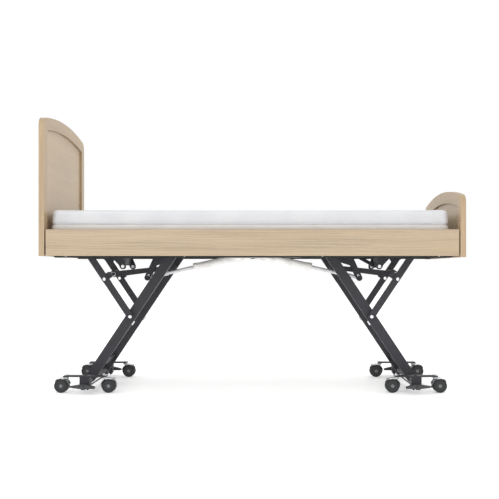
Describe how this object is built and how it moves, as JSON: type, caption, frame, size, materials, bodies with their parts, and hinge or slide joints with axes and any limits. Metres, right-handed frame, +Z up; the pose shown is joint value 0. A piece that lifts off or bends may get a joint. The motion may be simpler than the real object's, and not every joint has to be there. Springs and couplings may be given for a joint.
{
  "type": "adjustable hospital bed",
  "caption": "Electric adjustable hospital bed with arched wooden end boards, full-length side panels, mattress, and scissor leg sets on braked twin-wheel castors.",
  "frame": {"origin": "on the floor, under the middle of the bed", "axes": "+X to the foot end, +Y to the patient's left, +Z up"},
  "size_m": [2.13, 1, 1.43],
  "materials": {
    "oak": "satin",
    "mattress_cover": "matte",
    "frame_paint": "satin",
    "zinc": "satin",
    "actuator_housing": "satin",
    "grey_plastic": "matte",
    "tyre_rubber": "matte"
  },
  "bodies": {
    "bed_frame": {"chassis_rails": "frame_paint", "chassis_crossmembers": "frame_paint", "pivot_brackets": "frame_paint", "end_brackets": "frame_paint", "panel_brackets": "frame_paint", "fasteners": "zinc", "control_box": "grey_plastic", "headboard_frame": "oak", "headboard_panel": "oak", "footboard_frame": "oak", "footboard_panel": "oak", "right_side_panel": "oak", "left_side_panel": "oak", "seat_platform": "frame_paint", "mattress_seat": "mattress_cover"},
    "backrest": {"backrest_platform": "frame_paint", "mattress_back": "mattress_cover"},
    "thigh_rest": {"thigh_platform": "frame_paint", "mattress_thigh": "mattress_cover"},
    "calf_rest": {"calf_platform": "frame_paint", "mattress_calf": "mattress_cover"},
    "back_actuator": {"back_actuator_body": "actuator_housing"},
    "back_rod": {"back_actuator_rod": "zinc"},
    "knee_actuator": {"knee_actuator_body": "actuator_housing"},
    "knee_rod": {"knee_actuator_rod": "zinc"},
    "head_short_links": {"head_short_link": "frame_paint"},
    "head_legs": {"head_main_leg": "frame_paint"},
    "head_rollers": {"head_track_rollers": "grey_plastic"},
    "head_lift_lever": {"head_lever": "frame_paint"},
    "head_link_rod": {"head_drag_link": "frame_paint"},
    "head_actuator": {"head_actuator_body": "actuator_housing"},
    "head_piston": {"head_actuator_rod": "zinc"},
    "head_base": {"head_base_frame": "frame_paint"},
    "head_brake": {"head_brake_pedals": "grey_plastic"},
    "head_swivel_1": {"head_castor_1": "grey_plastic"},
    "head_wheel_pair_1": {"head_wheels_1": "tyre_rubber"},
    "head_swivel_2": {"head_castor_2": "grey_plastic"},
    "head_wheel_pair_2": {"head_wheels_2": "tyre_rubber"},
    "head_swivel_3": {"head_castor_3": "grey_plastic"},
    "head_wheel_pair_3": {"head_wheels_3": "tyre_rubber"},
    "head_swivel_4": {"head_castor_4": "grey_plastic"},
    "head_wheel_pair_4": {"head_wheels_4": "tyre_rubber"},
    "foot_short_links": {"foot_short_link": "frame_paint"},
    "foot_legs": {"foot_main_leg": "frame_paint"},
    "foot_rollers": {"foot_track_rollers": "grey_plastic"},
    "foot_lift_lever": {"foot_lever": "frame_paint"},
    "foot_link_rod": {"foot_drag_link": "frame_paint"},
    "foot_actuator": {"foot_actuator_body": "actuator_housing"},
    "foot_piston": {"foot_actuator_rod": "zinc"},
    "foot_base": {"foot_base_frame": "frame_paint"},
    "foot_brake": {"foot_brake_pedals": "grey_plastic"},
    "foot_swivel_1": {"foot_castor_1": "grey_plastic"},
    "foot_wheel_pair_1": {"foot_wheels_1": "tyre_rubber"},
    "foot_swivel_2": {"foot_castor_2": "grey_plastic"},
    "foot_wheel_pair_2": {"foot_wheels_2": "tyre_rubber"},
    "foot_swivel_3": {"foot_castor_3": "grey_plastic"},
    "foot_wheel_pair_3": {"foot_wheels_3": "tyre_rubber"},
    "foot_swivel_4": {"foot_castor_4": "grey_plastic"},
    "foot_wheel_pair_4": {"foot_wheels_4": "tyre_rubber"}
  },
  "joints": [
    {"name": "backrest_tilt", "type": "hinge", "parent": "bed_frame", "child": "backrest", "pos_m": [-0.225, 0, 0.77], "axis": [0, 1, 0], "range_deg": [0, 65]},
    {"name": "thigh_tilt", "type": "hinge", "parent": "bed_frame", "child": "thigh_rest", "pos_m": [-0.005, 0, 0.77], "axis": [0, -1, 0], "range_deg": [0, 35]},
    {"name": "calf_fold", "type": "hinge", "parent": "thigh_rest", "child": "calf_rest", "pos_m": [0.325, 0, 0.77], "axis": [0, -1, 0], "range_deg": [-51.5, 0]},
    {"name": "back_actuator_pivot", "type": "hinge", "parent": "bed_frame", "child": "back_actuator", "pos_m": [0.062, 0.042, 0.712], "axis": [0, 1, 0], "range_deg": [-0.65, 0]},
    {"name": "back_actuator_stroke", "type": "slide", "parent": "back_actuator", "child": "back_rod", "axis": [-0.9997, 0, 0.0225], "range_m": [0, 0.068]},
    {"name": "knee_actuator_pivot", "type": "hinge", "parent": "bed_frame", "child": "knee_actuator", "pos_m": [0.25, -0.012, 0.712], "axis": [0, -1, 0], "range_deg": [0, 0.04]},
    {"name": "knee_actuator_stroke", "type": "slide", "parent": "knee_actuator", "child": "knee_rod", "axis": [-1, 0, -0.0041], "range_m": [-0.038, 0]},
    {"name": "head_lift", "type": "hinge", "parent": "bed_frame", "child": "head_short_links", "pos_m": [-0.861, 0, 0.7106], "axis": [0, -1, 0], "range_deg": [0, 46.3]},
    {"name": "head_leg_pivot", "type": "hinge", "parent": "head_short_links", "child": "head_legs", "pos_m": [-0.64406, 0, 0.38531], "axis": [0, -1, 0], "range_deg": [-92.8, 0]},
    {"name": "head_roller_spin", "type": "hinge", "parent": "head_legs", "child": "head_rollers", "pos_m": [-0.42711, 0, 0.7106], "axis": [0, 1, 0], "continuous": true},
    {"name": "head_base_pivot", "type": "hinge", "parent": "head_legs", "child": "head_base", "pos_m": [-0.861, 0, 0.06], "axis": [0, -1, 0], "range_deg": [0, 46.4]},
    {"name": "head_lever_pivot", "type": "hinge", "parent": "bed_frame", "child": "head_lift_lever", "pos_m": [-0.522, 0.1, 0.75], "axis": [0, -1, 0], "range_deg": [0, 46.4]},
    {"name": "head_link_rod_pivot", "type": "hinge", "parent": "head_lift_lever", "child": "head_link_rod", "pos_m": [-0.4521, 0.1, 0.6452], "axis": [0, -1, 0], "range_deg": [-46.4, 0]},
    {"name": "head_actuator_pivot", "type": "hinge", "parent": "bed_frame", "child": "head_actuator", "pos_m": [0.018, 0.1, 0.728], "axis": [0, -1, 0], "range_deg": [0, 4.6]},
    {"name": "head_actuator_stroke", "type": "slide", "parent": "head_actuator", "child": "head_piston", "axis": [-0.9746, 0, -0.2238], "range_m": [-0.137, 0]},
    {"name": "head_brake_rock", "type": "hinge", "parent": "head_base", "child": "head_brake", "pos_m": [-0.861, 0, 0.038], "axis": [0, 1, 0], "range_deg": [-12, 12]},
    {"name": "head_castor_1_swivel", "type": "hinge", "parent": "head_base", "child": "head_swivel_1", "pos_m": [-0.961, -0.346, 0.06], "axis": [0, 0, 1], "continuous": true},
    {"name": "head_castor_1_roll", "type": "hinge", "parent": "head_swivel_1", "child": "head_wheel_pair_1", "pos_m": [-0.983, -0.346, 0.035], "axis": [0, 1, 0], "continuous": true},
    {"name": "head_castor_2_swivel", "type": "hinge", "parent": "head_base", "child": "head_swivel_2", "pos_m": [-0.761, -0.346, 0.06], "axis": [0, 0, 1], "continuous": true},
    {"name": "head_castor_2_roll", "type": "hinge", "parent": "head_swivel_2", "child": "head_wheel_pair_2", "pos_m": [-0.739, -0.346, 0.035], "axis": [0, 1, 0], "continuous": true},
    {"name": "head_castor_3_swivel", "type": "hinge", "parent": "head_base", "child": "head_swivel_3", "pos_m": [-0.961, 0.346, 0.06], "axis": [0, 0, 1], "continuous": true},
    {"name": "head_castor_3_roll", "type": "hinge", "parent": "head_swivel_3", "child": "head_wheel_pair_3", "pos_m": [-0.983, 0.346, 0.035], "axis": [0, 1, 0], "continuous": true},
    {"name": "head_castor_4_swivel", "type": "hinge", "parent": "head_base", "child": "head_swivel_4", "pos_m": [-0.761, 0.346, 0.06], "axis": [0, 0, 1], "continuous": true},
    {"name": "head_castor_4_roll", "type": "hinge", "parent": "head_swivel_4", "child": "head_wheel_pair_4", "pos_m": [-0.739, 0.346, 0.035], "axis": [0, 1, 0], "continuous": true},
    {"name": "foot_lift", "type": "hinge", "parent": "bed_frame", "child": "foot_short_links", "pos_m": [0.839, 0, 0.7106], "axis": [0, 1, 0], "range_deg": [0, 46.3]},
    {"name": "foot_leg_pivot", "type": "hinge", "parent": "foot_short_links", "child": "foot_legs", "pos_m": [0.62206, 0, 0.38531], "axis": [0, 1, 0], "range_deg": [-92.8, 0]},
    {"name": "foot_roller_spin", "type": "hinge", "parent": "foot_legs", "child": "foot_rollers", "pos_m": [0.40511, 0, 0.7106], "axis": [0, 1, 0], "continuous": true},
    {"name": "foot_base_pivot", "type": "hinge", "parent": "foot_legs", "child": "foot_base", "pos_m": [0.839, 0, 0.06], "axis": [0, 1, 0], "range_deg": [0, 46.4]},
    {"name": "foot_lever_pivot", "type": "hinge", "parent": "bed_frame", "child": "foot_lift_lever", "pos_m": [0.5, -0.065, 0.75], "axis": [0, 1, 0], "range_deg": [0, 46.4]},
    {"name": "foot_link_rod_pivot", "type": "hinge", "parent": "foot_lift_lever", "child": "foot_link_rod", "pos_m": [0.4301, -0.065, 0.6452], "axis": [0, 1, 0], "range_deg": [-46.4, 0]},
    {"name": "foot_actuator_pivot", "type": "hinge", "parent": "bed_frame", "child": "foot_actuator", "pos_m": [-0.04, -0.065, 0.728], "axis": [0, 1, 0], "range_deg": [0, 4.6]},
    {"name": "foot_actuator_stroke", "type": "slide", "parent": "foot_actuator", "child": "foot_piston", "axis": [0.9746, 0, -0.2238], "range_m": [-0.137, 0]},
    {"name": "foot_brake_rock", "type": "hinge", "parent": "foot_base", "child": "foot_brake", "pos_m": [0.839, 0, 0.038], "axis": [0, 1, 0], "range_deg": [-12, 12]},
    {"name": "foot_castor_1_swivel", "type": "hinge", "parent": "foot_base", "child": "foot_swivel_1", "pos_m": [0.939, -0.346, 0.06], "axis": [0, 0, 1], "continuous": true},
    {"name": "foot_castor_1_roll", "type": "hinge", "parent": "foot_swivel_1", "child": "foot_wheel_pair_1", "pos_m": [0.961, -0.346, 0.035], "axis": [0, 1, 0], "continuous": true},
    {"name": "foot_castor_2_swivel", "type": "hinge", "parent": "foot_base", "child": "foot_swivel_2", "pos_m": [0.739, -0.346, 0.06], "axis": [0, 0, 1], "continuous": true},
    {"name": "foot_castor_2_roll", "type": "hinge", "parent": "foot_swivel_2", "child": "foot_wheel_pair_2", "pos_m": [0.717, -0.346, 0.035], "axis": [0, 1, 0], "continuous": true},
    {"name": "foot_castor_3_swivel", "type": "hinge", "parent": "foot_base", "child": "foot_swivel_3", "pos_m": [0.939, 0.346, 0.06], "axis": [0, 0, 1], "continuous": true},
    {"name": "foot_castor_3_roll", "type": "hinge", "parent": "foot_swivel_3", "child": "foot_wheel_pair_3", "pos_m": [0.961, 0.346, 0.035], "axis": [0, 1, 0], "continuous": true},
    {"name": "foot_castor_4_swivel", "type": "hinge", "parent": "foot_base", "child": "foot_swivel_4", "pos_m": [0.739, 0.346, 0.06], "axis": [0, 0, 1], "continuous": true},
    {"name": "foot_castor_4_roll", "type": "hinge", "parent": "foot_swivel_4", "child": "foot_wheel_pair_4", "pos_m": [0.717, 0.346, 0.035], "axis": [0, 1, 0], "continuous": true}
  ],
  "couplings": [
    {"joint": "calf_fold", "follows": "thigh_tilt", "ratio": -1.466},
    {"joint": "back_actuator_pivot", "follows": "backrest_tilt", "ratio": -0.00946},
    {"joint": "back_actuator_stroke", "follows": "backrest_tilt", "m_per_rad": 0.058986},
    {"joint": "knee_actuator_pivot", "follows": "thigh_tilt", "ratio": 0.00107},
    {"joint": "knee_actuator_stroke", "follows": "thigh_tilt", "m_per_rad": -0.06104},
    {"joint": "head_leg_pivot", "follows": "head_lift", "ratio": -2},
    {"joint": "head_base_pivot", "follows": "head_lift", "ratio": 1},
    {"joint": "head_lever_pivot", "follows": "head_lift", "ratio": 1},
    {"joint": "head_link_rod_pivot", "follows": "head_lift", "ratio": -1},
    {"joint": "head_actuator_pivot", "follows": "head_lift", "ratio": 0.0946},
    {"joint": "head_actuator_stroke", "follows": "head_lift", "m_per_rad": -0.16736},
    {"joint": "foot_leg_pivot", "follows": "foot_lift", "ratio": -2},
    {"joint": "foot_base_pivot", "follows": "foot_lift", "ratio": 1},
    {"joint": "foot_lever_pivot", "follows": "foot_lift", "ratio": 1},
    {"joint": "foot_link_rod_pivot", "follows": "foot_lift", "ratio": -1},
    {"joint": "foot_actuator_pivot", "follows": "foot_lift", "ratio": 0.0946},
    {"joint": "foot_actuator_stroke", "follows": "foot_lift", "m_per_rad": -0.16736}
  ]
}
